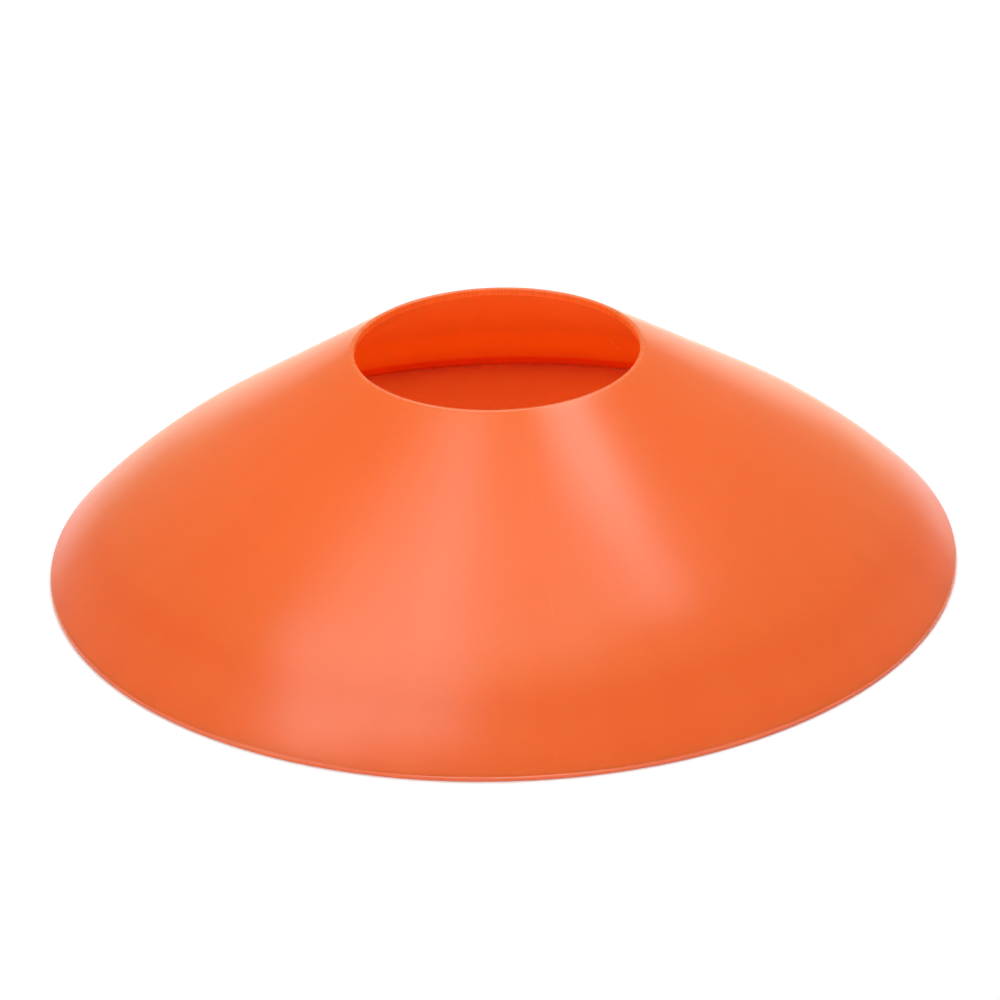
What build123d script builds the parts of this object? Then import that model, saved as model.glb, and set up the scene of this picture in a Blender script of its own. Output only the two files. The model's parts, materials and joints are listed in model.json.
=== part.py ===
from build123d import *
import os

# Saucer-shaped sports marker cone: one moulded shell of soft plastic, open below, with a round hole on top.
# Millimetres, +Z up, with the origin on the ground at the middle of the rim.

# Overall sizes
base_diameter = 200.0
overall_height = 50.0
hole_diameter = 62.0
wall_thickness = 1.6

# The wall turns over at the lip, runs straight down to the shoulder, then bends into a rounded skirt
lip_turn_radius = 1.0
wall_slope_angle = 33.2
shoulder_diameter = 148.0

# Upright edge at the foot of the skirt, where the mould closes
rim_edge_height = 1.0

# Narrow level ring around the hole. Edges on the outside are rounded, those inside and below only broken
lip_width = 0.4 * wall_thickness
edge_rounding = wall_thickness / 4
edge_break = wall_thickness / 8

base_radius = base_diameter / 2
hole_radius = hole_diameter / 2

with BuildPart() as cone_shell:
    # Section of the wall, to the right of the axis
    with BuildSketch(Plane.XZ) as wall_section:
        with BuildLine():
            lip = Line((hole_radius, overall_height), (hole_radius + lip_width, overall_height))
            lip_turn = JernArc(lip @ 1, lip % 1, radius=lip_turn_radius, arc_size=-wall_slope_angle)
            wall_run = shoulder_diameter / 2 - (lip_turn @ 1).X
            upper_wall = PolarLine(lip_turn @ 1, wall_run, direction=lip_turn % 1, length_mode=LengthMode.HORIZONTAL)
            skirt = TangentArc(upper_wall @ 1, (base_radius, rim_edge_height), tangent=upper_wall % 1)
            Line(skirt @ 1, (base_radius, -wall_thickness))
            # The inside follows the outside at one wall thickness, so that the next cone nests in it
            offset(amount=wall_thickness, side=Side.RIGHT)
        make_face()

        # The foot is cut level with the ground
        Rectangle(2 * base_diameter, base_diameter, align=(Align.CENTER, Align.MIN), mode=Mode.INTERSECT)

        # Rounded edge at the hole, and the skirt rounded over into the upright edge of the rim
        hole_edge = wall_section.vertices().sort_by_distance((hole_radius, overall_height))[0]
        fillet(hole_edge, radius=edge_rounding)
        rim_edge = wall_section.vertices().sort_by_distance((base_radius, rim_edge_height))[0]
        fillet(rim_edge, radius=2 * edge_rounding)

        # Broken edges under the lip and on the ground
        under_lip = wall_section.vertices().sort_by_distance((hole_radius, overall_height - wall_thickness))[0]
        chamfer(under_lip, length=edge_break)
        foot_edge = wall_section.vertices().sort_by_distance((base_radius, 0))[0]
        chamfer(foot_edge, length=edge_break)
    revolve(axis=Axis.Z)

cone_shell.part.label = "cone_shell"

os.makedirs("parts", exist_ok=True)
export_step(cone_shell.part, "parts/cone_shell.step")
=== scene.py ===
import json
import math

import bpy
from mathutils import Matrix, Vector


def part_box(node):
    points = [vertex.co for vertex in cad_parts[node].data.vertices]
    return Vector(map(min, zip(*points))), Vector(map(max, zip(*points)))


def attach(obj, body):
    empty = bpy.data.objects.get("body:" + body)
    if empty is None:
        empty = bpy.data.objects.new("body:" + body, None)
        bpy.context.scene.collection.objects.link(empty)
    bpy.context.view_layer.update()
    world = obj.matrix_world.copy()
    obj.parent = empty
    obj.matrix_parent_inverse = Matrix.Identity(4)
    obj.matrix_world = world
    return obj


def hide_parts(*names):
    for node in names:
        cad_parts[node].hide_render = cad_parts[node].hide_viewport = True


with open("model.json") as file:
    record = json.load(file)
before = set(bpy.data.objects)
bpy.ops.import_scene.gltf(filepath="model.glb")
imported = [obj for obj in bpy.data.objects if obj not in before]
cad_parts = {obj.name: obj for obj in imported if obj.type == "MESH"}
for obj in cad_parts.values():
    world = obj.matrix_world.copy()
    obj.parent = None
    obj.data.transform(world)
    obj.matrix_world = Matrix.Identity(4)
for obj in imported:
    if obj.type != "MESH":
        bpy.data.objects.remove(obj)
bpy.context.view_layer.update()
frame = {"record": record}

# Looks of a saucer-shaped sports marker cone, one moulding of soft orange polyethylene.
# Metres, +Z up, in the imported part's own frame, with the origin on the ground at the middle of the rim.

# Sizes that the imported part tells: the cone's box and the hole's own mount
shell_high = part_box("cone_shell")[1]
base_radius = shell_high.x
overall_height = shell_high.z
top_hole = next(mount for mount in frame["record"]["mounts"] if mount["name"] == "top_hole")
hole_radius = top_hole["dims"]["r_mm"] / 1000

# Sizes of the wall's section
wall_thickness = 0.0016
lip_turn_radius = 0.001
wall_slope = math.radians(33.2)
shoulder_radius = 0.074
rim_edge_height = 0.001
lip_width = 0.4 * wall_thickness
edge_rounding = wall_thickness / 4
edge_break = wall_thickness / 8

# Fineness of the shell's mesh
edge_points = 7
turn_points = 12
mesh_step = 0.0025
facets_around = 256
merge_distance = 1e-6

# Colours of the plastic, of the light that comes through it, and of the painted shade near the foot
deep_orange = (0.965, 0.345, 0.066, 1)
bright_orange = (0.99, 0.385, 0.076, 1)
rubbed_orange = (0.96, 0.41, 0.11, 1)
# Painted shade: the outside of the lower skirt is tinted redder towards the ground
foot_painted_shade_tint = (1.0, 0.50, 0.38, 1)
# Painted shade: the inside of the wall, where it meets the ground, is painted deep red
corner_painted_shade_tint = (1.0, 0.45, 0.35, 1)
# Painted shade: a slightly darker line along the outside of the rim at the ground
ground_line_painted_shade_tint = (0.98, 0.92, 0.82, 1)
wall_glow = (1.0, 0.30, 0.034, 1)
# Painted shade in the light that passes the wall at its inner corner with the ground
corner_painted_shade_glow = (1.0, 0.13, 0.012, 1)

# Share of the light that shines through the wall, and a smaller share at the outside of its foot, which is
# painted light that shows the foot's skin brighter
glow_share, foot_painted_light_share = 0.65, 0.36

# Heights above the ground between which each painted shade and the painted light of the foot sets in
foot_painted_shade_heights = (0.0165, 0.0020)
foot_painted_light_heights = (0.0130, 0.0020)
corner_painted_shade_heights = (0.0046, 0.0024)
ground_line_painted_shade_heights = (0.0018, 0.0008)

# Depth in the wall where its outside ends and its inside begins, and the ring that rubs at the hole
inner_side_depths = (0.0010, 0.0013)
rubbed_ring_widths = (0.0014, 0.0006)

# The moulded skin: its gloss, the fineness of its marks and the depth of its relief in metres
gloss_roughness = 0.25
plastic_ior = 1.6
flow_lines_around, flow_down_wall = 16.0, 9.0
cloud_fineness, speck_fineness = 40.0, 900.0
wave_fineness, grain_fineness = 22.0, 2600.0
wave_depth, flow_line_depth, grain_depth = 0.0005, 0.00005, 0.00001

# The photograph's camera, fitted to the outline, the hole's edge and the far rim
camera_distance = 0.9645
camera_elevation = math.radians(27.5)
camera_aim = Vector((-0.000295, 0, 0.012964))
camera_roll = math.radians(-1.675)
camera_lens_mm = 156.57
camera_sensor_mm = 36.0

# Studio light: place, turn, width, depth and brightness of each soft lamp. Those overhead face straight down
overhead = 0.7
lamp_aim = Vector((0, 0, 0.02))
lamps = {
    "panel_left": ((-0.333, -0.180, overhead), -14.0, 0.52, 0.386, 2.85),
    "panel_core": ((-0.15, -0.09, overhead - 0.02), -14.0, 0.10, 0.14, 1.6),
    "panel_middle": ((0.06, -0.15, overhead), 0.0, 0.34, 0.15, 1.7),
    "panel_right": ((0.278, 0.108, overhead), 0.0, 0.223, 0.284, 5.7),
    "panel_right_behind": ((0.29, 0.42, overhead), 0.0, 0.34, 0.34, 3.2),
    "softbox_left": ((-0.85, -0.62, 0.45), None, 0.6, 0.5, 1.9),
    "softbox_right": ((0.85, -0.62, 0.45), None, 0.6, 0.5, 0.9),
    "softbox_low": ((0.0, -1.05, 0.10), None, 0.8, 0.18, 3.8),
    "softbox_behind": ((0.0, 0.6, 0.9), None, 0.6, 0.4, 6.4),
    "strip_front": ((0.0, -0.80, 0.035), None, 0.9, 0.06, 5.2),
    "strip_left": ((-0.72, -0.42, 0.035), None, 0.8, 0.06, 2.4),
    "strip_right": ((0.72, -0.42, 0.035), None, 0.8, 0.06, 4.6),
    "strip_behind": ((0.0, 1.2, 0.07), None, 1.0, 0.13, 1.0),
}
room_light, room_light_behind = 0.165, 0.465


def fill(tree, socket, value):
    """Sets one input to a value, or links another node's output to it."""
    if isinstance(value, bpy.types.NodeSocket):
        tree.links.new(value, socket)
    else:
        socket.default_value = value


def add_node(tree, kind, inputs=None, **settings):
    """Adds one node with its settings, then fills its inputs with values or with links from other nodes."""
    node = tree.nodes.new(kind)
    for name, value in settings.items():
        setattr(node, name, value)
    for name, value in (inputs or {}).items():
        fill(tree, node.inputs[name], value)
    return node


def maths(tree, operation, *values):
    """One Math node's result."""
    return add_node(tree, "ShaderNodeMath", dict(enumerate(values)), operation=operation).outputs[0]


def vector_maths(tree, operation, *values):
    """One Vector Math node's vector, or its number for a dot product, a distance or a length."""
    node = add_node(tree, "ShaderNodeVectorMath", dict(enumerate(values)), operation=operation)
    return node.outputs["Value" if operation in ("DOT_PRODUCT", "DISTANCE", "LENGTH") else "Vector"]


def scaled(tree, vector, factor):
    """A vector times a number."""
    node = add_node(tree, "ShaderNodeVectorMath", {0: vector, "Scale": factor}, operation="SCALE")
    return node.outputs["Vector"]


def section_point(tree, radius, height):
    """A point of the wall's section: its distance from the axis, and its height."""
    return add_node(tree, "ShaderNodeCombineXYZ", {"X": radius, "Y": height}).outputs["Vector"]


def heading(tree, start, end):
    """The unit direction from one point of the section to the next."""
    return vector_maths(tree, "NORMALIZE", vector_maths(tree, "SUBTRACT", end, start))


def inward(tree, direction):
    """The direction from the outside of the wall straight into it."""
    return vector_maths(tree, "CROSS_PRODUCT", direction, (0, 0, 1))


def inside_corner(tree, before, corner, after, wall):
    """The inner wall's corner behind an outer one, a wall's thickness from both of its runs."""
    first = inward(tree, heading(tree, before, corner))
    second = inward(tree, heading(tree, corner, after))
    both = vector_maths(tree, "ADD", first, second)
    spread = maths(tree, "ADD", vector_maths(tree, "DOT_PRODUCT", first, second), 1.0)
    return vector_maths(tree, "ADD", corner, scaled(tree, both, maths(tree, "DIVIDE", wall, spread)))


def by_corner(tree, kind, values):
    """A value for each corner of the section, in the order in which the corners are joined."""
    switch = tree.nodes.new("GeometryNodeIndexSwitch")
    switch.data_type = kind
    while len(switch.index_switch_items) < len(values):
        switch.index_switch_items.new()
    fill(tree, switch.inputs["Index"], add_node(tree, "GeometryNodeInputIndex").outputs["Index"])
    for number, value in enumerate(values, 1):
        fill(tree, switch.inputs[number], value)
    return switch.outputs["Output"]


def shell_tree():
    """The rule of the shell: its wall's section, rounded at the corners and turned once around the axis."""
    tree = bpy.data.node_groups.new("turned_shell", "GeometryNodeTree")
    sizes = {
        "Base Radius": base_radius,
        "Height": overall_height,
        "Hole Radius": hole_radius,
        "Lip Width": lip_width,
        "Lip Turn Radius": lip_turn_radius,
        "Wall Slope": wall_slope,
        "Shoulder Radius": shoulder_radius,
        "Rim Edge Height": rim_edge_height,
        "Wall": wall_thickness,
        "Edge Rounding": edge_rounding,
        "Edge Break": edge_break,
        "Mesh Step": mesh_step,
    }
    face = tree.interface
    for name, value in sizes.items():
        face.new_socket(name, in_out="INPUT", socket_type="NodeSocketFloat").default_value = value
    counts = {"Facets Around": facets_around, "Edge Points": edge_points, "Turn Points": turn_points}
    for name, value in counts.items():
        face.new_socket(name, in_out="INPUT", socket_type="NodeSocketInt").default_value = value
    face.new_socket("Material", in_out="INPUT", socket_type="NodeSocketMaterial")
    face.new_socket("Geometry", in_out="OUTPUT", socket_type="NodeSocketGeometry")
    size = tree.nodes.new("NodeGroupInput").outputs

    # Outer corners: the hole's edge, the turn from the lip into the wall, the shoulder, and the rim's edge
    hole_edge = section_point(tree, size["Hole Radius"], size["Height"])
    half_turn = maths(tree, "TANGENT", maths(tree, "MULTIPLY", size["Wall Slope"], 0.5))
    lip_run = maths(tree, "MULTIPLY_ADD", size["Lip Turn Radius"], half_turn, size["Lip Width"])
    lip_corner_radius = maths(tree, "ADD", size["Hole Radius"], lip_run)
    lip_corner = section_point(tree, lip_corner_radius, size["Height"])
    wall_run = maths(tree, "SUBTRACT", size["Shoulder Radius"], lip_corner_radius)
    wall_drop = maths(tree, "MULTIPLY", wall_run, maths(tree, "TANGENT", size["Wall Slope"]))
    shoulder_height = maths(tree, "SUBTRACT", size["Height"], wall_drop)
    shoulder = section_point(tree, size["Shoulder Radius"], shoulder_height)
    rim_edge = section_point(tree, size["Base Radius"], size["Rim Edge Height"])
    foot = section_point(tree, size["Base Radius"], 0.0)

    # The skirt is an arc that leaves the straight wall at the shoulder: a rounded corner further down
    wall_heading = heading(tree, lip_corner, shoulder)
    skirt_chord = vector_maths(tree, "SUBTRACT", rim_edge, shoulder)
    half_square = maths(tree, "MULTIPLY", vector_maths(tree, "DOT_PRODUCT", skirt_chord, skirt_chord), 0.5)
    along = maths(tree, "DIVIDE", half_square, vector_maths(tree, "DOT_PRODUCT", skirt_chord, wall_heading))
    across = vector_maths(tree, "DOT_PRODUCT", skirt_chord, inward(tree, wall_heading))
    skirt_radius = maths(tree, "DIVIDE", half_square, across)
    skirt_corner = vector_maths(tree, "ADD", shoulder, scaled(tree, wall_heading, along))

    # Inner corners, from the foot back up to the underside of the lip
    foot_inner = section_point(tree, maths(tree, "SUBTRACT", size["Base Radius"], size["Wall"]), 0.0)
    rim_inner = inside_corner(tree, skirt_corner, rim_edge, foot, size["Wall"])
    skirt_inner = inside_corner(tree, lip_corner, skirt_corner, rim_edge, size["Wall"])
    lip_inner = inside_corner(tree, hole_edge, lip_corner, skirt_corner, size["Wall"])
    under_lip_height = maths(tree, "SUBTRACT", size["Height"], size["Wall"])
    under_lip = section_point(tree, size["Hole Radius"], under_lip_height)
    inner_skirt_radius = maths(tree, "SUBTRACT", skirt_radius, size["Wall"])

    corners = [hole_edge, lip_corner, skirt_corner, rim_edge, foot,
               foot_inner, rim_inner, skirt_inner, lip_inner, under_lip]
    edge, small = size["Edge Rounding"], size["Edge Break"]
    rim_rounding = maths(tree, "MULTIPLY", edge, 2.0)
    roundings = [edge, size["Lip Turn Radius"], skirt_radius, rim_rounding, small,
                 small, small, inner_skirt_radius, small, small]
    few, many = size["Edge Points"], size["Turn Points"]
    points = [few, few, many, few, few, few, few, many, few, few]

    row = add_node(tree, "GeometryNodeMeshLine", {"Count": len(corners)}).outputs["Mesh"]
    joined = add_node(tree, "GeometryNodeSetPosition",
                      {"Geometry": row, "Position": by_corner(tree, "VECTOR", corners)}).outputs["Geometry"]
    strip = add_node(tree, "GeometryNodeMeshToCurve", {"Mesh": joined}).outputs["Curve"]
    loop = add_node(tree, "GeometryNodeSetSplineCyclic", {"Geometry": strip, "Cyclic": True})
    rounded = add_node(tree, "GeometryNodeFilletCurve",
                       {"Curve": loop.outputs["Geometry"], "Count": by_corner(tree, "INT", points),
                        "Radius": by_corner(tree, "FLOAT", roundings), "Limit Radius": True}, mode="POLY")

    # Long runs are cut up, so that the faces stay near the same length
    here = add_node(tree, "GeometryNodeInputPosition").outputs["Position"]
    following = add_node(tree, "GeometryNodeOffsetPointInCurve", {"Offset": 1}).outputs["Point Index"]
    there = add_node(tree, "GeometryNodeFieldAtIndex", {"Index": following, "Value": here},
                     data_type="FLOAT_VECTOR", domain="POINT").outputs["Value"]
    pieces = maths(tree, "DIVIDE", vector_maths(tree, "DISTANCE", here, there), size["Mesh Step"])
    cuts = maths(tree, "FLOOR", pieces)
    section = add_node(tree, "GeometryNodeSubdivideCurve",
                       {"Curve": rounded.outputs["Curve"], "Cuts": cuts}).outputs["Curve"]

    # The section is carried once around the hole: its radii count from there, and its up side is turned over
    inset = add_node(tree, "ShaderNodeCombineXYZ", {"X": maths(tree, "MULTIPLY", size["Hole Radius"], -1.0)})
    placed = add_node(tree, "GeometryNodeTransform",
                      {"Geometry": section, "Translation": inset.outputs["Vector"],
                       "Scale": (1, -1, 1)}).outputs["Geometry"]
    ring = add_node(tree, "GeometryNodeCurvePrimitiveCircle",
                    {"Resolution": size["Facets Around"], "Radius": size["Hole Radius"]}, mode="RADIUS")
    level = add_node(tree, "GeometryNodeSetCurveNormal", {"Curve": ring.outputs["Curve"]}, mode="Z_UP")
    shell = add_node(tree, "GeometryNodeCurveToMesh",
                     {"Curve": level.outputs["Curve"], "Profile Curve": placed}).outputs["Mesh"]

    # Doubles are merged, and the shell is shaded smooth and given its plastic
    finished = shell
    for kind, inputs in (("GeometryNodeMergeByDistance", {"Distance": merge_distance}),
                         ("GeometryNodeSetShadeSmooth", {"Shade Smooth": True}),
                         ("GeometryNodeRealizeInstances", {}),
                         ("GeometryNodeSetMaterial", {"Material": size["Material"]})):
        finished = add_node(tree, kind, {"Geometry": finished, **inputs}).outputs["Geometry"]
    add_node(tree, "NodeGroupOutput", {"Geometry": finished})
    return tree


def noise(tree, place, scale, detail=2.0, roughness=0.5):
    """Soft noise between 0 and 1, with features of about one metre divided by the scale."""
    return add_node(tree, "ShaderNodeTexNoise", {"Vector": place, "Scale": scale, "Detail": detail,
                                                 "Roughness": roughness}).outputs["Fac"]


def ramp(tree, value, start, end):
    """A smooth step from 0 to 1 as the value goes from start to end."""
    node = add_node(tree, "ShaderNodeMapRange", {"Value": value, "From Min": start, "From Max": end},
                    interpolation_type="SMOOTHSTEP")
    return node.outputs["Result"]


def tinted(tree, factor, first, second, blend="MIX"):
    """One colour turning into another, or tinted by it. Either may come from a node."""
    # The Mix node keeps its colours behind its sockets for numbers and vectors
    factor_in, first_in, second_in, colour_out = 0, 6, 7, 2
    node = add_node(tree, "ShaderNodeMix", {factor_in: factor, first_in: first, second_in: second},
                    data_type="RGBA", blend_type=blend)
    return node.outputs[colour_out]


def skirt_arc():
    """Centre and radius of the skirt's arc in the wall's section."""
    lip_corner = hole_radius + lip_width + lip_turn_radius * math.tan(wall_slope / 2)
    wall_drop = (shoulder_radius - lip_corner) * math.tan(wall_slope)
    shoulder = Vector((shoulder_radius, overall_height - wall_drop))
    chord = Vector((base_radius, rim_edge_height)) - shoulder
    into_wall = -Vector((math.sin(wall_slope), math.cos(wall_slope)))
    radius = chord.length_squared / (2 * chord.dot(into_wall))
    return shoulder + radius * into_wall, radius


def cloudy_pigment(tree, place, flow_lines, clouds):
    """The plastic's own orange, a little uneven along the flow, in clouds and in specks."""
    specks = noise(tree, place, speck_fineness, 2.0)
    mottle = maths(tree, "MULTIPLY_ADD", clouds, 0.4, maths(tree, "MULTIPLY", specks, 0.15))
    shade = maths(tree, "MULTIPLY_ADD", flow_lines, 0.45, mottle)
    return tinted(tree, ramp(tree, shade, 0.3, 0.7), deep_orange, bright_orange)


def wall_sides(tree, from_axis, height):
    """The inner and the outer side of the wall, each 1 on its own side and 0 on the other."""
    centre, radius = skirt_arc()
    from_centre = vector_maths(tree, "DISTANCE", section_point(tree, from_axis, height), (*centre, 0))
    outside_ends, inside_begins = inner_side_depths
    inner_side = ramp(tree, from_centre, radius - outside_ends, radius - inside_begins)
    return inner_side, maths(tree, "SUBTRACT", 1.0, inner_side)


def low_down(tree, side, height, heights):
    """The lowest part of one side of the wall, setting in between two heights."""
    return maths(tree, "MULTIPLY", side, ramp(tree, height, *heights))


def rubbed_hole_edge(tree, place, around, from_axis):
    """Patches where the hole's edge rubs on the post and on the next cone of the stack."""
    rub_place = vector_maths(tree, "ADD", scaled(tree, around, 70.0), scaled(tree, place, 260.0))
    patches = ramp(tree, noise(tree, rub_place, 1.0, 5.0, 0.65), 0.42, 0.62)
    wide, narrow = rubbed_ring_widths
    return maths(tree, "MULTIPLY", patches, ramp(tree, from_axis, hole_radius + wide, hole_radius + narrow))


def skin_dullness(tree, around, down_wall, flow_lines, clouds, worn):
    """Roughness that varies with the flow, with wear, and with hairline scratches from nesting."""
    scratch_place = vector_maths(tree, "ADD", scaled(tree, around, 240.0), scaled(tree, down_wall, 3.0))
    scratches = ramp(tree, noise(tree, scratch_place, 1.0, 2.0, 0.7), 0.66, 0.74)
    cloudy = maths(tree, "MULTIPLY_ADD", clouds, 0.06, gloss_roughness - 0.05)
    even = maths(tree, "MULTIPLY_ADD", flow_lines, 0.04, cloudy)
    return maths(tree, "MULTIPLY_ADD", scratches, 0.02, maths(tree, "MULTIPLY_ADD", worn, 0.15, even))


def skin_relief(tree, place, flow_lines):
    """Skin of the mould: a wall that is not quite even, with flow lines and a very fine grain."""
    waves = noise(tree, place, wave_fineness, 1.0)
    grain = noise(tree, place, grain_fineness, 2.0, 0.6)
    relief = {}
    for strength, depth, height in ((1.0, wave_depth, waves), (0.5, flow_line_depth, flow_lines),
                                    (0.25, grain_depth, grain)):
        inputs = {"Strength": strength, "Distance": depth, "Height": height, **relief}
        bump = add_node(tree, "ShaderNodeBump", inputs)
        relief = {"Normal": bump.outputs["Normal"]}
    return relief["Normal"]


def orange_polyethylene():
    """Soft orange polyethylene with a satin moulded skin, which lets some light through."""
    material = bpy.data.materials.new("moulded_orange_polyethylene")
    material.use_nodes = True
    tree = material.node_tree
    skin = tree.nodes["Principled BSDF"]
    place = add_node(tree, "ShaderNodeTexCoord").outputs["Object"]
    height = add_node(tree, "ShaderNodeSeparateXYZ", {"Vector": place}).outputs["Z"]
    level = vector_maths(tree, "MULTIPLY", place, (1, 1, 0))
    around = vector_maths(tree, "NORMALIZE", level)
    from_axis = vector_maths(tree, "LENGTH", level)

    # The melt ran outwards from the hole, which left faint lines down the wall and a slightly cloudy colour
    run_out = maths(tree, "MULTIPLY", from_axis, flow_down_wall)
    down_wall = add_node(tree, "ShaderNodeCombineXYZ", {"Z": run_out}).outputs["Vector"]
    flow_place = vector_maths(tree, "ADD", scaled(tree, around, flow_lines_around), down_wall)
    flow_lines = noise(tree, flow_place, 1.0, 4.0, 0.6)
    clouds = noise(tree, place, cloud_fineness, 3.0)
    pigment = cloudy_pigment(tree, place, flow_lines, clouds)

    # Painted shade and light at the foot: outside, the lower skirt is tinted redder, passes less light so
    # its skin shows brighter, and has a darker painted line at the ground; inside, the corner with the
    # ground is painted deep red
    inner_side, outer_side = wall_sides(tree, from_axis, height)
    corner_painted_shade = low_down(tree, inner_side, height, corner_painted_shade_heights)
    foot_painted_light = low_down(tree, outer_side, height, foot_painted_light_heights)
    foot_painted_shade = low_down(tree, outer_side, height, foot_painted_shade_heights)
    ground_line_painted_shade = low_down(tree, outer_side, height, ground_line_painted_shade_heights)
    with_foot_painted_shade = tinted(tree, foot_painted_shade, pigment, foot_painted_shade_tint, "MULTIPLY")
    body = tinted(tree, corner_painted_shade, with_foot_painted_shade, corner_painted_shade_tint, "MULTIPLY")
    with_ground_line_painted_shade = tinted(tree, ground_line_painted_shade, body, ground_line_painted_shade_tint, "MULTIPLY")

    # The hole's edge is paler and duller where it rubs
    worn = rubbed_hole_edge(tree, place, around, from_axis)
    colour = tinted(tree, maths(tree, "MULTIPLY", worn, 0.10), with_ground_line_painted_shade, rubbed_orange)
    dull = skin_dullness(tree, around, down_wall, flow_lines, clouds, worn)
    relief = skin_relief(tree, place, flow_lines)
    for name, source in (("Base Color", colour), ("Roughness", dull), ("Normal", relief)):
        tree.links.new(source, skin.inputs[name])
    skin.inputs["IOR"].default_value = plastic_ior
    skin.inputs["Specular IOR Level"].default_value = 1.0

    # Light from behind shines through the wall, painted deeper red near the inner foot, where it stands for
    # shade. Seen edge on, the skin mirrors and lets less through
    glow = tinted(tree, corner_painted_shade, wall_glow, corner_painted_shade_glow)
    through = add_node(tree, "ShaderNodeBsdfTranslucent", {"Color": glow})
    edge_on = add_node(tree, "ShaderNodeLayerWeight", {"Blend": 0.5}).outputs["Facing"]
    head_on = maths(tree, "SUBTRACT", 1.0, maths(tree, "POWER", edge_on, 5.0))
    # Painted light: less light passes at the outer foot, so the skin shows brighter there
    share = maths(tree, "MULTIPLY_ADD", foot_painted_light, foot_painted_light_share - glow_share, glow_share)
    passed = maths(tree, "MULTIPLY", head_on, share)
    both = add_node(tree, "ShaderNodeMixShader",
                    {"Fac": passed, 1: skin.outputs["BSDF"], 2: through.outputs["BSDF"]})
    tree.links.new(both.outputs["Shader"], tree.nodes["Material Output"].inputs["Surface"])
    return material


def cone_shell(material):
    """The shell itself, made by its rule and turned into a plain mesh."""
    tree = shell_tree()
    seed = bpy.data.objects.new("shell_rule", bpy.data.meshes.new("shell_rule"))
    bpy.context.collection.objects.link(seed)
    rule = seed.modifiers.new("turned_shell", "NODES")
    rule.node_group = tree
    for socket in tree.interface.items_tree:
        if socket.item_type == "SOCKET" and socket.in_out == "INPUT" and socket.name == "Material":
            rule[socket.identifier] = material
    mesh = bpy.data.meshes.new_from_object(seed.evaluated_get(bpy.context.evaluated_depsgraph_get()))
    bpy.data.objects.remove(seed)
    mesh.name = "moulded_shell"
    shell = bpy.data.objects.new("moulded_shell", mesh)
    bpy.context.collection.objects.link(shell)
    return shell


def pale_floor():
    """A wide matt white floor."""
    material = bpy.data.materials.new("white_floor")
    material.use_nodes = True
    skin = material.node_tree.nodes["Principled BSDF"]
    skin.inputs["Base Color"].default_value = (0.95, 0.95, 0.95, 1)
    skin.inputs["Roughness"].default_value = 1.0
    skin.inputs["Specular IOR Level"].default_value = 0.0
    reach = 8.0
    corners = [(-reach, -reach, 0), (reach, -reach, 0), (reach, reach, 0), (-reach, reach, 0)]
    mesh = bpy.data.meshes.new("floor")
    mesh.from_pydata(corners, [], [(0, 1, 2, 3)])
    mesh.materials.append(material)
    floor = bpy.data.objects.new("floor", mesh)
    bpy.context.collection.objects.link(floor)
    return floor


def studio_room():
    """Dim light from all around, brighter towards the wall behind the cone."""
    world = bpy.data.worlds.new("studio_room")
    world.use_nodes = True
    bpy.context.scene.world = world
    tree = world.node_tree
    direction = add_node(tree, "ShaderNodeTexCoord").outputs["Generated"]
    behind = add_node(tree, "ShaderNodeSeparateXYZ", {"Vector": direction}).outputs["Y"]
    brightness = add_node(tree, "ShaderNodeMapRange", {"Value": behind, "From Min": 0.0, "From Max": 1.0,
                                                       "To Min": room_light, "To Max": room_light_behind})
    tree.nodes["Background"].inputs["Color"].default_value = (1, 1, 1, 1)
    tree.links.new(brightness.outputs["Result"], tree.nodes["Background"].inputs["Strength"])


def soft_lamp(name, place, turn, width, depth, brightness):
    """One soft rectangular lamp with its surface's brightness. It faces the cone, or straight down."""
    lamp = bpy.data.lights.new(name, "AREA")
    lamp.shape = "RECTANGLE"
    lamp.size = width
    lamp.size_y = depth
    lamp.energy = brightness * math.pi * width * depth
    holder = bpy.data.objects.new(name, lamp)
    holder.location = place
    if turn is None:
        holder.rotation_euler = (lamp_aim - Vector(place)).to_track_quat("-Z", "Y").to_euler()
    else:
        holder.rotation_euler.z = math.radians(turn)
    bpy.context.collection.objects.link(holder)


def photograph_camera():
    """The camera at the photograph's place, aim and tilt."""
    lens = bpy.data.cameras.new("camera")
    lens.lens = camera_lens_mm
    lens.sensor_width = camera_sensor_mm
    camera = bpy.data.objects.new("camera", lens)
    place = camera_distance * Vector((0, -math.cos(camera_elevation), math.sin(camera_elevation)))
    level = (camera_aim - place).to_track_quat("-Z", "Y").to_matrix().to_4x4()
    camera.matrix_world = Matrix.Translation(place) @ level @ Matrix.Rotation(camera_roll, 4, "Z")
    bpy.context.collection.objects.link(camera)
    bpy.context.scene.camera = camera


shell = cone_shell(orange_polyethylene())
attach(shell, "root")
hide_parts("cone_shell")
pale_floor()
studio_room()
for name, lamp in lamps.items():
    soft_lamp(name, *lamp)
photograph_camera()
bpy.context.scene.view_settings.view_transform = "Standard"
